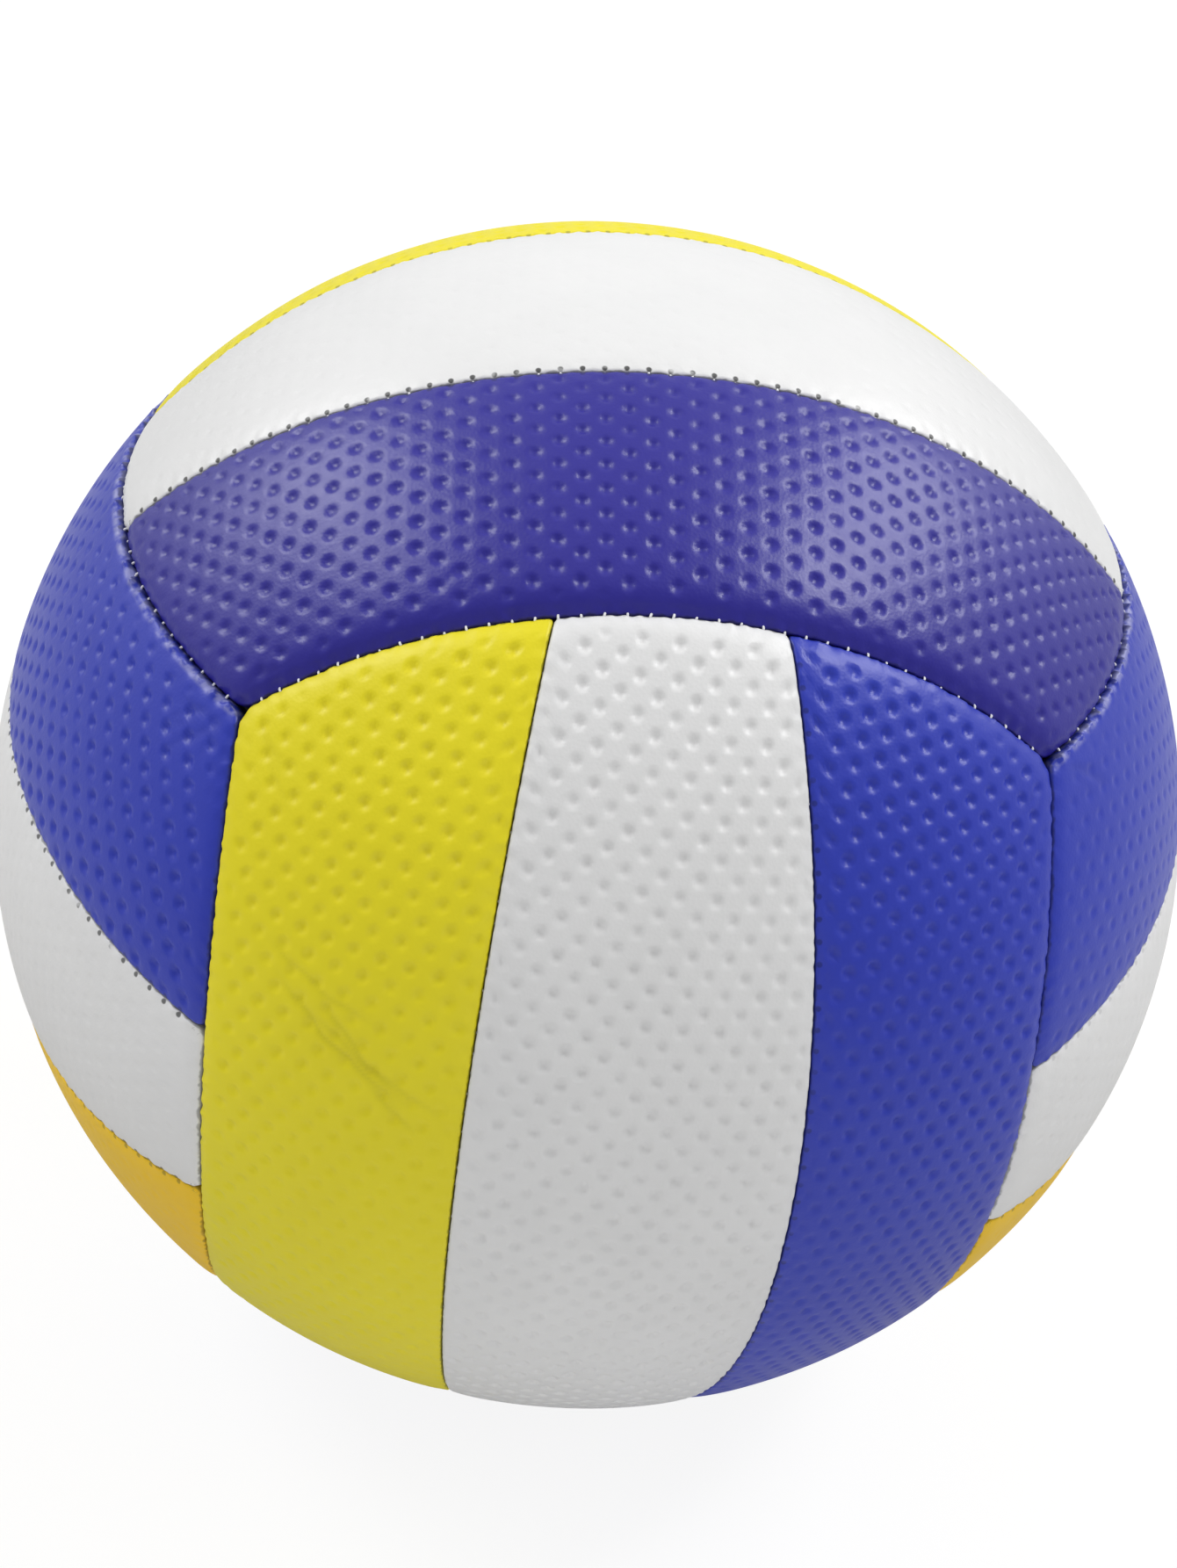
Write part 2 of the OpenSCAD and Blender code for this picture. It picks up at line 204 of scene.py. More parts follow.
class Strip:
    """One strip of a group that faces +Z. Its four seams are, in order, the side at +X, the end at
    +Y, the side at -X and the end at -Y. Each has a plane, axis . p = rise, with the strip on its
    far side, and on its circle a middle and a direction along."""

    def __init__(self, number, corners=CORNER_R):
        (c0, e0), (c1, e1) = SIDES[number], SIDES[number + 1]
        axes = np.array([[-1, 0, e1], [0, -BOW, 1], [1, 0, -e0], [0, BOW, 1]])
        self.sizes = np.linalg.norm(axes, axis=1)
        self.axes = axes / self.sizes[:, None]
        self.rises = np.array([-c1, SIDE_OFFSET, c0, SIDE_OFFSET]) / self.sizes
        self.lean, self.corners = (e0, e1), corners
        self.along = np.array([[0, 1, 0], [1, 0, 0], [0, 1, 0], [1, 0, 0]], float)
        self.middle = np.cross(self.along, self.axes)
        self.middle *= np.sign(self.middle[:, 2:])
        right, left = ("group" if number == outer else "strip" for outer in (2, 0))
        self.kinds = [right, "group", left, "group"]
        centre = self.at(0.5, 0.0, 0)
        self.facing = math.atan2(centre[0], centre[2])

    def at(self, p, v, inset):
        """Direction of the point at share p across and v along (-1 to 1) of the strip moved in by
        inset. Across, the plane x = c + e z slides from one side to the other. Along, a plane turns
        about the line y = 0, z = a, in which the planes of the two ends meet."""
        c1, a, c0, _ = shifted(self.rises, inset) * self.sizes
        c1, (e0, e1) = -c1, self.lean
        cm, em = (c0 + c1) / 2, (e0 + e1) / 2
        bow2 = BOW**2
        z_end = root(1 + bow2 * (1 + em**2), 2 * (bow2 * cm * em - a), bow2 * (cm**2 - 1) + a**2)
        y = np.sin(v * np.arcsin((z_end - a) / BOW))
        slope = y / (root(1 + em**2, 2 * cm * em, cm**2 + y**2 - 1) - a)
        c, e = c0 + (c1 - c0) * p, e0 + (e1 - e0) * p
        z = root(1 + e**2 + slope**2, 2 * (c * e - slope**2 * a), c**2 + (slope * a) ** 2 - 1)
        return np.stack([c + e * z, slope * (z - a), z], -1)

    def distances(self, q):
        """Distance over the ball from direction q to each of the four seams."""
        return BALL_R * (np.arcsin(np.clip(q @ self.axes.T, -1, 1)) - np.arcsin(self.rises))

    def places(self, q):
        """Place along each of the four seams, from the seam's middle."""
        angle = np.arctan2(q @ self.along.T, q @ self.middle.T)
        return BALL_R * np.cos(np.arcsin(self.rises)) * angle

    def sheet(self, q):
        """Place on the flat sheet the strip was cut from: across and along, from its centre."""
        across = (np.arctan2(q[..., 0], q[..., 2]) - self.facing) * np.sqrt(1 - q[..., 1] ** 2)
        return BALL_R * across, BALL_R * np.arcsin(q[..., 1])

    def ring(self, p, v, inset):
        """Outline at inset. Within a corner's radius of two seams, a point's two distances follow a
        quarter circle about the point that lies a radius from both."""
        q = self.at(p, v, inset)
        d = self.distances(q)
        rows = np.arange(len(q))
        side, end = np.where(d[:, 0] < d[:, 2], 0, 2), np.where(d[:, 1] < d[:, 3], 1, 3)
        ds, de = d[rows, side], d[rows, end]
        radius = np.array([self.corners[kind] for kind in self.kinds])[side]
        never_zero = 0.001
        reach = np.maximum(radius - inset, never_zero)
        bend = np.radians(45) * (radius - np.maximum(ds, de)) / reach
        small, large = radius - reach * np.cos(bend), radius - reach * np.sin(bend)
        bent = meet(
            self.axes[side],
            shifted(self.rises[side], np.where(ds < de, small, large)),
            self.axes[end],
            shifted(self.rises[end], np.where(ds < de, large, small)),
        )
        near = (ds < radius) & (de < radius) & (radius > inset)
        return np.where(near[:, None], bent, q)


def ripple(x, y, size, seed, waves=7, spread=(0.6, 1.6)):
    """Smooth unevenness from -1 to 1: the mean of seeded sine waves in all directions. Each goes
    into the length size from spread[0] to spread[1] times."""
    rng = np.random.default_rng(seed)
    total = 0
    for _ in range(waves):
        a, k, shift = rng.uniform(0, 2 * np.pi), rng.uniform(*spread), rng.uniform(0, 2 * np.pi)
        total = total + np.sin(2 * np.pi * k / size * (x * np.cos(a) + y * np.sin(a)) + shift)
    return total / waves


def bowl(distance, radius, lip=0.75):
    """1 at the middle of a dent, 0 from its rim outwards: a parabola that rounds over from lip."""
    share = np.minimum(distance / radius, 1)
    return np.where(share < lip, 1 - share**2 / lip, (1 - share) ** 2 / (1 - lip))


def ease(x):
    """0 below 0, 1 above 1 and a smooth step between."""
    x = np.clip(x, 0, 1)
    return x * x * (3 - 2 * x)


def folds(strip, seed):
    """Short creases that run from the group's corners into the strip, in the form of CREASES."""
    rng = np.random.default_rng(seed)
    lines = []
    for side, share, way in ((0, 1.0, -1), (2, 0.0, 1)):
        for end in (-1.0, 1.0) if strip.kinds[side] == "group" else ():
            x, y = strip.sheet(strip.at(share, end, FOLD_INSET))
            for angle in rng.uniform(*FOLD_ANGLE, FOLDS):
                reach, start = rng.uniform(*FOLD_LENGTH), rng.uniform(*FOLD_START)
                step = math.cos(angle) * way, -math.sin(angle) * end
                one = x + start * step[0], y + start * step[1]
                two = one[0] + reach * step[0], one[1] + reach * step[1]
                lines.append((one, two, rng.uniform(*FOLD_DEPTH)))
    return lines


def seam_fall(strip, d, places, label, seed):
    """What sinks beside the four seams: a soft fall, depth times exp(-(distance / width)^power),
    which puckers square to the seam vary, a dent at every stitch, and waves along the edge. The
    last two fade across the seam as a bell, exp(-distance^2)."""
    fall = 0
    for k, kind in enumerate(strip.kinds):
        w, place = d[..., k], places[..., k]
        wave = partial(ripple, place, place * 0)
        first = seed * 7 + k  # a seed for each seam, and others further on for its other waves
        pucker = wave(PUCKER_MM, first) + LONG_PUCKER * wave(LONG_PUCKER_MM, first + 90)
        stitch = np.abs(place / STITCH_MM - np.round(place / STITCH_MM)) * STITCH_MM
        depth, width, power, uneven = CROWN.get(f"{label} {k}", CROWN[kind])
        fall += depth * np.exp(-((w / width) ** power)) * (1 + PUCKER * pucker)
        fall += DENT * bowl(stitch, DENT_R) * np.exp(-(((w - DENT_OFF) / DENT_W) ** 2))
        fall += uneven * wave(UNEVEN_MM, first + 50) * np.exp(-((w / UNEVEN_W) ** 2))
    return fall


def crease_fall(strip, across, along, label, seed):
    """Depth of the creases: each a bell, exp(-(distance / CREASE_W)^2), across a line that wanders
    as two sines and eases out at both ends."""
    crease = np.zeros(len(across))
    for (x0, y0), (x1, y1), depth in CREASES.get(label, []) + folds(strip, seed):
        length = math.hypot(x1 - x0, y1 - y0)
        run = ((across - x0) * (x1 - x0) + (along - y0) * (y1 - y0)) / length
        off = ((across - x0) * (y1 - y0) - (along - y0) * (x1 - x0)) / length
        for far, stretch in CREASE_WANDER:
            off = off + far * np.sin(run / stretch)
        ends = ease(run / length * CREASE_ENDS), ease((1 - run / length) * CREASE_ENDS)
        crease += depth * np.exp(-((off / CREASE_W) ** 2)) * ends[0] * ends[1]
    return crease


def dimple_fall(strip, d, across, along, label, seed):
    """Depth of the dimples: a bowl about each point of the strip's lattice, a little deeper or
    shallower by chance, which fades out towards the seams. A point's two numbers in the lattice
    come from the inverse of its steps, and what is left past whole numbers places it in a bowl."""
    one, two, start, depth, growth = LATTICES.get(label, PLAIN_LATTICE)
    grid = np.linalg.inv(np.array([one, two]).T)
    a = grid[0, 0] * (across - start[0]) + grid[0, 1] * (along - start[1])
    b = grid[1, 0] * (across - start[0]) + grid[1, 1] * (along - start[1])
    fa, fb = a - np.round(a), b - np.round(b)
    gap = np.hypot(fa * one[0] + fb * two[0], fa * one[1] + fb * two[1])
    mixed = np.sin(np.round(a) * SCATTER[0] + np.round(b) * SCATTER[1] + seed) * SCATTER[2]
    chance = DIMPLE_LEAST + DIMPLE_MORE * np.modf(np.abs(mixed))[0]
    bare = np.array([BARE[kind] for kind in strip.kinds])
    fade = ease((d - bare) / (bare * BARE_FADE)).min(-1)
    return depth * (1 + growth * along / 100) * chance * fade * bowl(gap, DIMPLE_R)


def sunk(strip, q, label, seed):
    """How deep the skin's face lies under the ball at direction q: the sum of what sinks at the
    seams, slow waves, creases and dimples. A soft limit, fall / (1 + (fall / most)^8)^(1/8), keeps
    it above the skin's underside over the foam. Also how far down a crease a point is, up to 1."""
    d = np.maximum(strip.distances(q), 0)
    across, along = strip.sheet(q)
    crease = crease_fall(strip, across, along, label, seed)
    fall = seam_fall(strip, d, strip.places(q), label, seed)
    fall += WAVE * (1 + ripple(along, across, WAVE_MM, seed + 9))
    fall += crease + dimple_fall(strip, d, across, along, label, seed)
    most = FALL_MOST + ease((EDGE_FREE - d.min(-1)) / EDGE_FADE)
    return fall / (1 + (fall / most) ** 8) ** 0.125, np.minimum(crease / CREASE_FULL, 1)


def border(nu, nv):
    """Shares p and v of a grid's border points, anticlockwise from outside."""
    one, two = np.arange(nu) / nu, np.arange(nv) / nv * 2 - 1
    p = np.concatenate([one, np.ones(nv), 1 - one, np.zeros(nv)])
    return p, np.concatenate([-np.ones(nu), two, np.ones(nu), -two])


def border_ids(nu, nv, first):
    """Numbers of a grid's border points in the order of border()."""
    row, one, two = nu + 1, np.arange(nu), np.arange(nv)
    return first + np.concatenate([one, two * row + nu, nv * row + nu - one, (nv - two) * row])


def band(lower, upper):
    """Quads between two closed loops of points."""
    return np.stack([lower, np.roll(lower, -1), np.roll(upper, -1), upper], -1)


# The skin's section at its edge, as distance from the seam and radius: from the hem on the hidden
# side, down the hidden side and up the seam's wall
HEM = [(INSET, SKIN_R), (2.25, 104.17), (1.5, 103.7), (0.98, 103.0), (0.95, BACK_R), (WALL, BACK_R)]
# then over the rolled edge, a quarter of an ellipse, and onto the face
ROLL = [
    (WALL + ROLL_W * (1 - math.cos(a)), BALL_R - ROLL_D * (1 - math.sin(a)))
    for a in np.radians([0, 20, 38, 55, 70, 82])
]
FACE = [(w, BALL_R) for w in (1.05, 1.45, 1.9, 2.4, 3.0)]


def underside(hem, first, nu, nv):
    """Faces of the underside, whose own points start at first: rows of COARSE faces from one long
    side of the hem's loop to the other, and at both ends a fan out to the hem's points."""
    inner = first + np.arange((COARSE - 1) * (nv - 1)).reshape(nv - 1, COARSE - 1)
    left, right = hem[2 * nu + nv + 1 :][::-1], hem[nu + 1 : nu + nv]
    rows = np.concatenate([left[:, None], inner, right[:, None]], 1)
    quads = np.stack([rows[:-1, :-1], rows[1:, :-1], rows[1:, 1:], rows[:-1, 1:]], -1)
    faces = quads.reshape(-1, 4).tolist()
    near_end, far_end = hem[: nu + 1], hem[nu + nv : 2 * nu + nv + 1][::-1]
    for end, row, way in ((near_end, rows[0], 1), (far_end, rows[-1], -1)):
        pick = np.round((np.arange(nu) + 0.5) * COARSE / nu).astype(int)
        jump = np.flatnonzero(np.diff(pick))
        fan = np.stack([end[:-1], row[pick], end[1:]], -1)
        link = np.stack([end[jump + 1], row[pick[jump]], row[pick[jump + 1]]], -1)
        faces += np.concatenate([fan, link])[:, ::way].tolist()
    return faces


def leather_fields(strip, q, near, crease, label):
    """What the leather reads at each point of a skin: how near the nearest seam is, the place along
    it, how dark the painted shade of its needle holes is, whether its rolled edge has a painted
    highlight, and how far down a crease that is."""
    d = strip.distances(q)
    order = d.argsort(-1)
    nearest = order[:, 0]
    place = np.take_along_axis(strip.places(q), order[:, :1], -1)[:, 0]
    corner = np.take_along_axis(d, order[:, 1:2], -1)[:, 0] < CORNER_MM
    place[corner] = (np.floor(place[corner] / STITCH_MM) + 0.5) * STITCH_MM
    dark = {"strip": HOLES.get(label, PLAIN_HOLES), "group": 0}
    return {
        "seam_near": near * np.array([NEARNESS[kind] for kind in strip.kinds])[nearest],
        "seam_place": place,
        "seam_hole_shade": np.array([dark[kind] for kind in strip.kinds])[nearest],
        "crease": crease,
        "seam_sheen": np.array([f"{label} {k}" in SHEEN_SEAMS for k in range(4)])[nearest],
    }


def skin_mesh(name, strip, rotation, label, seed):
    """A closed shell: the face as a grid, rings that roll it over into the seams and up the hidden
    side, and an underside of coarse faces."""
    step = MESH_MM * 1
    width, span = (
        BALL_R * math.acos(strip.at(*one, 0) @ strip.at(*two, 0))
        for one, two in (((0.0, 0.0), (1.0, 0.0)), ((0.5, -1.0), (0.5, 1.0)))
    )
    nu, nv = COARSE * round(width / step / COARSE), round(span / step)
    p, v = border(nu, nv)
    points, near, creased, faces, loops = [], [], [], [], []
    for inset, r in HEM + ROLL + FACE:
        q = strip.ring(p, v, inset)
        shown = 0 if (inset, r) in HEM else 1
        fall, crease = sunk(strip, q, label, seed)
        points.append(q * (r - shown * fall)[:, None])
        near.append(np.full(len(q), (inset - WALL) * shown))
        creased.append(crease)
        loops.append(len(loops) * len(p) + np.arange(len(p)))
    first = len(loops) * len(p)
    pp, vv = np.meshgrid(np.linspace(0, 1, nu + 1), np.linspace(-1, 1, nv + 1))
    q = strip.at(pp.ravel(), vv.ravel(), INSET)
    fall, crease = sunk(strip, q, label, seed)
    points.append(q * (BALL_R - fall)[:, None])
    near.append(strip.distances(q).min(-1))
    creased.append(crease)
    loops.append(border_ids(nu, nv, first))
    for lower, upper in zip(loops, loops[1:]):
        faces += band(lower, upper).tolist()
    i, j = np.meshgrid(np.arange(nu), np.arange(nv))
    k = (first + j * (nu + 1) + i).ravel()
    faces += np.stack([k, k + 1, k + nu + 2, k + nu + 1], -1).tolist()
    pp, vv = np.meshgrid(np.arange(1, COARSE) / COARSE, np.linspace(-1, 1, nv + 1)[1:-1])
    q = strip.at(pp.ravel(), vv.ravel(), INSET)
    points.append(q * SKIN_R)
    near.append(np.zeros(len(q)))
    creased.append(np.zeros(len(q)))
    faces += underside(loops[0], first + (nu + 1) * (nv + 1), nu, nv)
    points, near, creased = (np.concatenate(parts) for parts in (points, near, creased))
    mesh = bpy.data.meshes.new(name)
    mesh.from_pydata(points @ rotation.T / 1000, [], faces)
    mesh.shade_smooth()
    for field, values in leather_fields(strip, unit(points), near, creased, label).items():
        data = mesh.attributes.new(field, "FLOAT", "POINT").data
        data.foreach_set("value", values.astype(np.float32))
    return mesh


def put(name, mesh):
    """Links a mesh as an object at the origin."""
    piece = bpy.data.objects.new(name, mesh)
    bpy.context.scene.collection.objects.link(piece)
    return piece


# ---------------------------------------------------------------- materials


def srgb(value):
    """Linear colour of an sRGB hex value."""
    parts = np.array([int(value[i : i + 2], 16) for i in (1, 3, 5)]) / 255
    return (*np.where(parts <= 0.04045, parts / 12.92, ((parts + 0.055) / 1.055) ** 2.4), 1)


def toned(value, share, white=0.0):
    """The hex value's linear colour, taken down to a share of itself, with some white added."""
    return (*(share * part + white for part in srgb(value)[:3]), 1)


def add(tree, kind, links=(), out=0, **settings):
    """Adds a node with its settings and gives its output out. links holds what its inputs take, in
    their order or by their names: other nodes' outputs, or values."""
    node = tree.nodes.new("ShaderNode" + kind)
    for key, value in settings.items():
        setattr(node, key, value)
    for key, value in links.items() if isinstance(links, dict) else enumerate(links):
        if isinstance(value, bpy.types.NodeSocket):
            tree.links.new(value, node.inputs[key])
        else:
            node.inputs[key].default_value = value
    return node.outputs[out] if node.outputs else node


def emptied(owner):
    """Clears the nodes of a material or a world, and gives add() for its tree."""
    owner.use_nodes = True
    owner.node_tree.nodes.clear()
    return partial(add, owner.node_tree)


# What a Mix node of colours is set to and gives, and its inputs
OF_COLOURS = {"out": 2, "data_type": "RGBA"}
SHARE, ONE, TWO = 0, 6, 7
SMOOTH = {"interpolation_type": "SMOOTHSTEP"}  # for a Map Range node

# Patterns of the leather, as waves or cells to the metre
CLOUDS = 70.0  # the dye is uneven over 14 mm
BLOTCHES = 480.0  # a painted highlight on a rim, in blotches of 2 mm
OPEN_HOLES = 260.0  # needle holes stand open in one stretch of 4 mm and are closed in the next
FRAYS = 800.0  # a seam's lip strays over 1.2 mm
WRINKLES = 520.0  # fine wrinkles of 2 mm
PORES = 1900.0  # pores of 0.5 mm, drawn coarser than the real ones to show at all
# Where in their noise the blotches and the open holes begin, and where they are full
BLOTCH_FROM, BLOTCH_TO = 0.42, 0.56
OPEN_FROM, OPEN_TO = 0.25, 0.42
# Distances from a seam, in millimetres
HOLE_OFF, HOLE_R, HOLE_RIM = 0.5, 0.3, 0.54  # a needle hole's middle, and the radius of its painted shade and its outer radius
RIM_FROM, RIM_TO = 0.4, 1.0  # the painted highlight on a rim fades from here to here
CRACK_FROM, CRACK_TO = 0.02, 0.2  # and a seam's shadow from here to here,
FRAY, FRAY_MIDDLE = 0.5, 0.235  # once the seam's lip has strayed by so much
WHOLE_STITCHES = 1000.5  # half a pitch more, and so many pitches that no place is negative
# How strong the painted shade in the creases, the painted highlight on a rim and the seam's painted
# shadow are, the share of the tint in their colours, and the white in the highlight's
CREASE_SHADE, RIM, CRACK = 0.22, 0.8, 0.55
CREASE_SHADE_TINT, RIM_TINT, RIM_WHITE, DARK_TINT = 0.4, 0.76, 0.24, 0.1
# The bump: its strength, its height in metres, and the pores' part against the wrinkles'
BUMP, BUMP_M, PORES_PART = 0.3, 0.0001, 0.6
GLOSS_SPREAD = 0.08  # how far the wrinkles change the roughness either way
COAT = {"Coat Weight": 0.08, "Coat Roughness": 0.22}


def synthetic_leather(name, tint, pale, rough):
    """PU-coated microfibre, embossed. The eye gets a fine pebble grain under a satin coat, slightly
    uneven in colour, with painted shade in the creases, painted shadow in the seams and at the
    needle holes beside them, and a painted highlight in pale blotches on some rolled edges."""
    material = bpy.data.materials.new(name)
    node = emptied(material)
    place = node("TexCoord", out="Object")
    near, along, holes, on_sheen_seam, crease = (
        node("Attribute", out="Fac", attribute_name=field)
        for field in ("seam_near", "seam_place", "seam_hole_shade", "seam_sheen", "crease")
    )

    # dye, and painted shade in the creases
    cloud = {"Vector": place, "Scale": CLOUDS, "Detail": 4.0, "Roughness": 0.6}
    cloud = node("TexNoise", cloud, "Fac")
    colour = node("Mix", {SHARE: cloud, ONE: srgb(tint), TWO: srgb(pale)}, **OF_COLOURS)
    crease_shade_mask = node("Math", (crease, CREASE_SHADE), operation="MULTIPLY")
    crease_shade_colour = toned(tint, CREASE_SHADE_TINT)
    colour = node("Mix", {SHARE: crease_shade_mask, ONE: colour, TWO: crease_shade_colour}, **OF_COLOURS)

    # painted highlight on a rolled edge, in blotches
    blotch = node("TexNoise", {"Vector": place, "Scale": BLOTCHES, "Detail": 3.0}, "Fac")
    blotch = node("MapRange", {"Value": blotch, "From Min": BLOTCH_FROM, "From Max": BLOTCH_TO})
    rim = {"Value": near, "From Min": RIM_FROM, "From Max": RIM_TO, "To Min": RIM, "To Max": 0.0}
    rim = node("Math", (node("MapRange", rim, **SMOOTH), on_sheen_seam), operation="MULTIPLY")
    rim = node("Math", (rim, blotch), operation="MULTIPLY")
    sheen_colour = toned(tint, RIM_TINT, RIM_WHITE)
    colour = node("Mix", {SHARE: rim, ONE: colour, TWO: sheen_colour}, **OF_COLOURS)

    # needle holes, as painted shade: the distance from the nearest hole's middle, along the seam
    # and away from it
    off = node("Math", (along, 1 / STITCH_MM, WHOLE_STITCHES), operation="MULTIPLY_ADD")
    off = node("Math", (node("Math", (off,), operation="FRACT"), 0.5), operation="SUBTRACT")
    off = node("Math", (off, STITCH_MM), operation="MULTIPLY")
    away = node("Math", (near, HOLE_OFF), operation="SUBTRACT")
    away = node("Math", (away, away), operation="MULTIPLY")
    away = node("Math", (off, off, away), operation="MULTIPLY_ADD")
    away = node("Math", (away,), operation="SQRT")
    hole = {"Value": away, "From Min": HOLE_R, "From Max": HOLE_RIM, "To Min": 1.0, "To Max": 0.0}
    hole = node("MapRange", hole, **SMOOTH)
    open_holes = node("TexNoise", {"Vector": place, "Scale": OPEN_HOLES}, "Fac")
    open_holes = {"Value": open_holes, "From Min": OPEN_FROM, "From Max": OPEN_TO}
    open_holes = node("MapRange", open_holes)
    open_holes = node("Math", (open_holes, holes), operation="MULTIPLY")
    hole = node("Math", (hole, open_holes), operation="MULTIPLY")

    # shadow in the seam, under a frayed lip
    fray = node("TexNoise", {"Vector": place, "Scale": FRAYS, "Detail": 1.0}, "Fac")
    fray = node("Math", (fray, FRAY, -FRAY_MIDDLE), operation="MULTIPLY_ADD")
    lip = node("Math", (near, fray), operation="SUBTRACT")
    crack = {"Value": lip, "From Min": CRACK_FROM, "From Max": CRACK_TO, "To Min": CRACK}
    crack = node("MapRange", {**crack, "To Max": 0.0}, **SMOOTH)
    # painted shade of the needle holes and painted shadow of the seam, in one dark colour
    dark = node("Math", (hole, crack), operation="MAXIMUM")
    shadow = toned(tint, DARK_TINT)
    colour = node("Mix", {SHARE: dark, ONE: colour, TWO: shadow}, **OF_COLOURS)

    # grain
    pores = node("TexVoronoi", {"Vector": place, "Scale": PORES}, "Distance")
    wrinkles = {"Vector": place, "Scale": WRINKLES, "Detail": 5.0, "Roughness": 0.65}
    wrinkles = node("TexNoise", wrinkles, "Fac")
    height = node("Math", (pores, PORES_PART, wrinkles), operation="MULTIPLY_ADD")
    bump = node("Bump", {"Height": height, "Strength": BUMP, "Distance": BUMP_M})
    gloss = {"Value": wrinkles, "To Min": rough - GLOSS_SPREAD, "To Max": rough + GLOSS_SPREAD}
    gloss = node("MapRange", gloss)
    leather = {"Base Color": colour, "Roughness": gloss, "Normal": bump, **COAT}
    node("OutputMaterial", {"Surface": node("BsdfPrincipled", leather)})
    return material


def plain_soft(name, tint, pale, rough, grain_mm, depth_mm):
    """A matte material, uneven in colour and height over grain_mm: foam, cloth, rubber, thread."""
    material = bpy.data.materials.new(name)
    node = emptied(material)
    place = node("TexCoord", out="Object")
    grain = node("TexNoise", {"Vector": place, "Scale": 1000 / grain_mm, "Detail": 3.0}, "Fac")
    bump = node("Bump", {"Height": grain, "Strength": 0.4, "Distance": depth_mm / 1000})
    colour = node("Mix", {SHARE: grain, ONE: srgb(tint), TWO: srgb(pale)}, **OF_COLOURS)
    stuff = node("BsdfPrincipled", {"Base Color": colour, "Roughness": rough, "Normal": bump})
    node("OutputMaterial", {"Surface": stuff})
    return material


SKINS = {
    "royal_blue": synthetic_leather("leather_royal_blue_embossed", "#2232aa", "#2738b2", 0.42),
    "indigo": synthetic_leather("leather_indigo_embossed", "#211b88", "#262090", 0.39),
    "white": synthetic_leather("leather_white_embossed", "#dedede", "#e6e6e6", 0.44),
    "lemon": synthetic_leather("leather_lemon_embossed", "#e3d500", "#eadd08", 0.52),
    "gold": synthetic_leather("leather_golden_embossed", "#eec000", "#f5c908", 0.6),
}
# EVA foam, closed cells, cut from sheet: pale and dull, with cells of 0.6 mm
FOAM = plain_soft("eva_foam_closed_cell", "#c4c4ba", "#cfcfc6", 0.9, 0.6, 0.1)
# Polyester cloth, woven and laminated: unbleached and matte, with threads 0.5 mm apart
CLOTH = plain_soft("polyester_cloth_woven", "#d8d5c8", "#e4e1d6", 0.85, 0.5, 0.15)
# Polyester thread, twisted: bright white with a faint gloss, uneven over its 0.3 mm twist
THREAD = plain_soft("polyester_thread_twisted", "#e6e6ea", "#f2f2f4", 0.6, 0.3, 0.05)
# Butyl rubber, moulded and cured: dark grey and dull
BLADDER_RUBBER = plain_soft("butyl_rubber_moulded", "#4a4a4c", "#525254", 0.6, 1.0, 0.05)
# Natural rubber, moulded: black, a little smoother
HOUSING_RUBBER = plain_soft("natural_rubber_moulded", "#1b1b1c", "#222223", 0.55, 0.8, 0.05)
# Silicone rubber, moulded: grey and smooth
PLUG_RUBBER = plain_soft("silicone_rubber_moulded", "#4a4a4d", "#535356", 0.5, 0.8, 0.05)

# ---------------------------------------------------------------- cover


def cut_valve_hole(piece):
    """Takes a cylinder about +Y out of the skin, for the valve's nose."""
    bpy.ops.mesh.primitive_cylinder_add(
        vertices=CUTTER_SIDES,
        radius=VALVE_HOLE_R / 1000,
        depth=CUTTER_L / 1000,
        location=(0, BALL_R / 1000, 0),
        rotation=(math.pi / 2, 0, 0),
    )
    cutter = bpy.context.object
    cut = piece.modifiers.new("valve_hole", "BOOLEAN")
    cut.operation, cut.object, cut.solver = "DIFFERENCE", cutter, "EXACT"
    bpy.context.view_layer.objects.active = piece
    bpy.ops.object.modifier_apply(modifier=cut.name)
    bpy.data.objects.remove(cutter)


seed = 0
for group, (rotation, strips) in GROUPS.items():
    for number, (side, skin) in enumerate(strips):
        label = f"{group}_{side}"
        seed += 1
        strip = Strip(number, SIDE_CORNER_R if group in ("left", "right") else CORNER_R)
        mesh = skin_mesh("skin_" + label, strip, rotation, label, seed)
        mesh.materials.append(SKINS[skin])
        piece = put("skin_" + label, mesh)
        if label == "back_middle":
            cut_valve_hole(piece)
        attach(piece, "root")
        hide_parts("panel_" + label)

# ---------------------------------------------------------------- stitches

# A stitch's path, as place across the seam and height, and the tube of thread about it
PATH = [(-0.7, -0.5), (-0.4, -0.12), (-0.15, 0.04), (0.15, 0.04), (0.4, -0.12), (0.7, -0.5)]
THREAD_R, THREAD_SIDES = 0.19, 6
SPARE_END = 2.4  # the last stitch stays this far from a seam's end
LEAN, LIFT = 0.18, 0.13  # how much the stitches differ in their lean, as a share, and their height


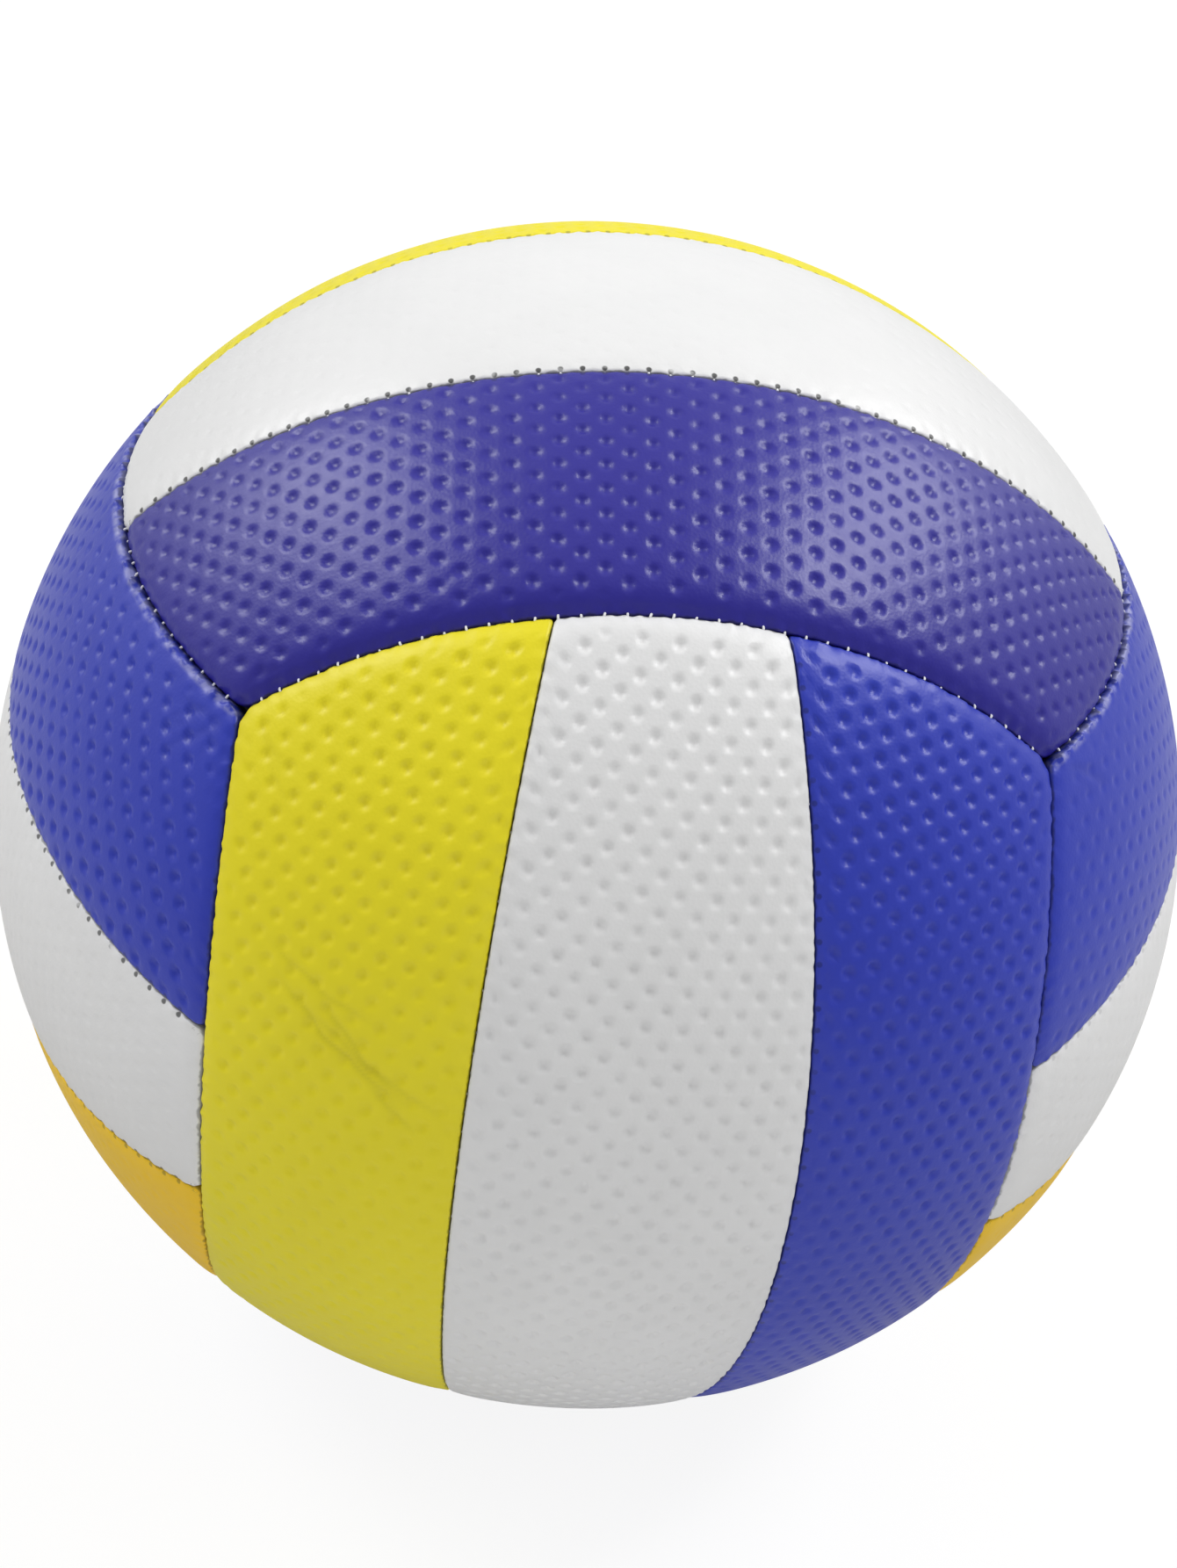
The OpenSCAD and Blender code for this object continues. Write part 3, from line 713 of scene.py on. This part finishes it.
def stitches(name, node, number, seams, deep, deeper):
    """Short threads across the seams, one every STITCH_MM: each is a tube that dives from one
    rolled edge into the other. The seam's small circle carries them, at equal steps of its angle.
    Each sits a little higher or lower and leans a little to one side. They sit deep under the
    ball's surface, and in some groups deeper still, or less deep."""
    turns = 2 * np.pi * np.arange(THREAD_SIDES) / THREAD_SIDES
    across, height = np.repeat(PATH, THREAD_SIDES, 0).T
    cos, sin = np.tile(np.cos(turns), len(PATH)), np.tile(np.sin(turns), len(PATH))
    shape = np.stack([across, THREAD_R * cos, height + THREAD_R * sin], -1)
    lower = np.arange(len(shape) - THREAD_SIDES).reshape(-1, THREAD_SIDES)
    right = np.roll(lower, -1, 1)
    quad = np.stack([lower, right, right + THREAD_SIDES, lower + THREAD_SIDES], -1).reshape(-1, 4)
    rng = np.random.default_rng(7)
    points, faces, count = [], [], 0
    strip = Strip(number)
    for group, (rotation, _) in GROUPS.items():
        for k in seams:
            axis, rise = strip.axes[k], strip.rises[k]
            along, middle = strip.along[k], unit(strip.middle[k])
            corner = strip.at(0.0 if k == 2 else 1.0, -1.0 if k == 3 else 1.0, 0)
            size = math.sqrt(1 - rise**2)
            half = abs(math.atan2(corner @ along, corner @ middle))
            steps = int((half * size * BALL_R - SPARE_END) / STITCH_MM)
            angles = np.arange(-steps, steps + 1) * STITCH_MM / BALL_R / size
            cos, sin = np.cos(angles)[:, None], np.sin(angles)[:, None]
            up = size * (cos * middle + sin * along) + rise * axis
            run = cos * along - sin * middle
            run = unit(run + rng.normal(0, LEAN, len(up))[:, None] * np.cross(up, run))
            spread = rng.normal(0, LIFT, len(up))[:, None]
            lift = BALL_R - deep - deeper.get(group, 0) + spread
            turned = shape @ np.stack([np.cross(run, up), run, up], 1)
            points.append(((up * lift)[:, None] + turned).reshape(-1, 3) @ rotation.T)
            starts = count + np.arange(len(up)) * len(shape)
            faces.append((quad + starts[:, None, None]).reshape(-1, 4))
            count += len(up) * len(shape)
    mesh = bpy.data.meshes.new(name)
    mesh.from_pydata(np.concatenate(points) / 1000, [], np.concatenate(faces).tolist())
    mesh.shade_smooth()
    mesh.materials.append(THREAD)
    piece = put(name, mesh)
    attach(piece, "root")
    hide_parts(node)


# The strips' seams, then the groups' ends, whose stitches sit deeper in some groups than in others
deeper = {"top": -0.5, "bottom": -0.5}
stitches("stitches_strips", "thread_strips", 1, (0, 2), 1.6, deeper)
deeper = {"left": 0.35, "right": 0.35, "front": 0.1, "top": -0.12}
stitches("stitches_groups", "thread_groups", 2, (1, 3), 1.46, deeper)

# ---------------------------------------------------------------- carried CAD nodes

CARRIED = {
    "foam": FOAM,
    "lining": CLOTH,
    "bladder": BLADDER_RUBBER,
    "valve_housing": HOUSING_RUBBER,
    "valve_plug": PLUG_RUBBER,
}
for node_name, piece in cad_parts.items():
    for start, material in CARRIED.items():
        if node_name.startswith(start):
            piece.data.materials.clear()
            piece.data.materials.append(material)

# ---------------------------------------------------------------- stage, light, camera, in metres

# Seamless paper, uncoated: matte, paler to the camera than to the ball, and lost in white away from
# the ball
FLOOR_M, GLOW = 8, 1.04  # the floor's side, and the strength of that white, where 1 is white
bpy.ops.mesh.primitive_plane_add(size=FLOOR_M, location=(0, 0, -BALL_R / 1000))
floor = bpy.context.object
floor.name = "floor"
paper = bpy.data.materials.new("paper_white_seamless")
node = emptied(paper)
seen = node("LightPath", out="Is Camera Ray")
tint = node("Mix", {SHARE: seen, ONE: srgb("#d6d6d6"), TWO: srgb("#fafafa")}, **OF_COLOURS)
matte = node("BsdfDiffuse", {"Color": tint})
glow = node("Emission", {"Color": (1, 1, 1, 1), "Strength": GLOW})
away = node("VectorMath", (node("TexCoord", out="Object"),), "Value", operation="LENGTH")
away = {"Value": away, "From Min": 0.3, "From Max": 1.6, "To Min": 0.85, "To Max": 1.0}
share = node("Math", (seen, node("MapRange", away)), operation="MULTIPLY")
node("OutputMaterial", {"Surface": node("MixShader", (share, matte, glow))})
floor.data.materials.append(paper)

# The room: white to the camera, a plain light to the ball, and darker in its gloss to the front
ROOM = 0.42
world = bpy.data.worlds.new("studio")
bpy.context.scene.world = world
node = emptied(world)
way = node("SeparateXYZ", (node("TexCoord", out="Generated"),), "Y")
way = {"Value": way, "From Min": -0.95, "From Max": 0.1, "To Min": -0.32, "To Max": 0.4}
glossy, seen = node("LightPath", out="Is Glossy Ray"), node("LightPath", out="Is Camera Ray")
strength = node("Math", (glossy, node("MapRange", way), ROOM), operation="MULTIPLY_ADD")
strength = node("Math", (seen, 1 - ROOM, strength), operation="MULTIPLY_ADD")
sky = node("Background", {"Color": (1, 1, 1, 1), "Strength": strength})
node("OutputWorld", {"Surface": sky})

# Soft boxes: three above the ball, where its highlights show them, one over the left rim, and a
# wide one in front that the gloss doesn't show. Each has its place over LAMP_FAR, the direction of
# its width, its width and height, and its watts
LAMP_FAR = 1.2
for name, way, width_way, size, watts in (
    ("soft_box_right", (0.6, 0.22, 0.74), (0.13, 0.57, -0.28), (0.85, 0.36), 6.1),
    ("soft_box_small", (0.52, -0.09, 0.85), (1.0, 0.0, 0.0), (0.14, 0.14), 2.0),
    ("soft_box_left", (-0.63, 0.2, 0.75), (-0.045, 0.53, -0.18), (0.75, 0.36), 4.7),
    ("soft_box_rim", (-0.9, 0.45, 0.65), (0.0, 1.0, 0.0), (0.6, 0.6), 2.8),
    ("soft_box_front", (0.0, -1.15, 0.1), (1.0, 0.0, 0.0), (0.9, 0.9), 4.1),
):
    light = bpy.data.lights.new(name, "AREA")
    light.shape, light.size, light.size_y, light.energy = "RECTANGLE", *size, watts
    lamp = bpy.data.objects.new(name, light)
    bpy.context.scene.collection.objects.link(lamp)
    lamp.visible_glossy = name != "soft_box_front"
    z = Vector(way).normalized()
    y = z.cross(Vector(width_way)).normalized()
    turned = Matrix((y.cross(z), y, z)).transposed().to_4x4()
    lamp.matrix_world = Matrix.Translation(LAMP_FAR * Vector(way)) @ turned

# The camera, as the photograph's seams give it: its distance in ball radii, its turn as an axis as
# long as the angle, and its focal length and shift in pixels of a frame that is HEIGHT_PX high
CAMERA_RADII, CAMERA_TURN = 4.107, Vector((-0.64476, -0.09179, -0.08303))
HEIGHT_PX, FOCAL_PX, SHIFT_X_PX, SHIFT_Y_PX = 1785, 2694, 1.9, 35
SENSOR_MM = 36
lens = bpy.data.cameras.new("camera")
camera = bpy.data.objects.new("camera", lens)
bpy.context.scene.collection.objects.link(camera)
turned = Matrix.Rotation(CAMERA_TURN.length, 4, CAMERA_TURN.normalized())
back = Matrix.Translation((0, -CAMERA_RADII * (BALL_R / 1000), 0))
camera.matrix_world = turned @ back @ Matrix.Rotation(math.pi / 2, 4, "X")
lens.sensor_width, lens.lens = SENSOR_MM, FOCAL_PX / HEIGHT_PX * SENSOR_MM
lens.shift_x, lens.shift_y = SHIFT_X_PX / HEIGHT_PX, SHIFT_Y_PX / HEIGHT_PX
lens.clip_start, lens.clip_end = 0.01, 20
bpy.context.scene.camera = camera
bpy.context.scene.view_settings.view_transform = "Standard"
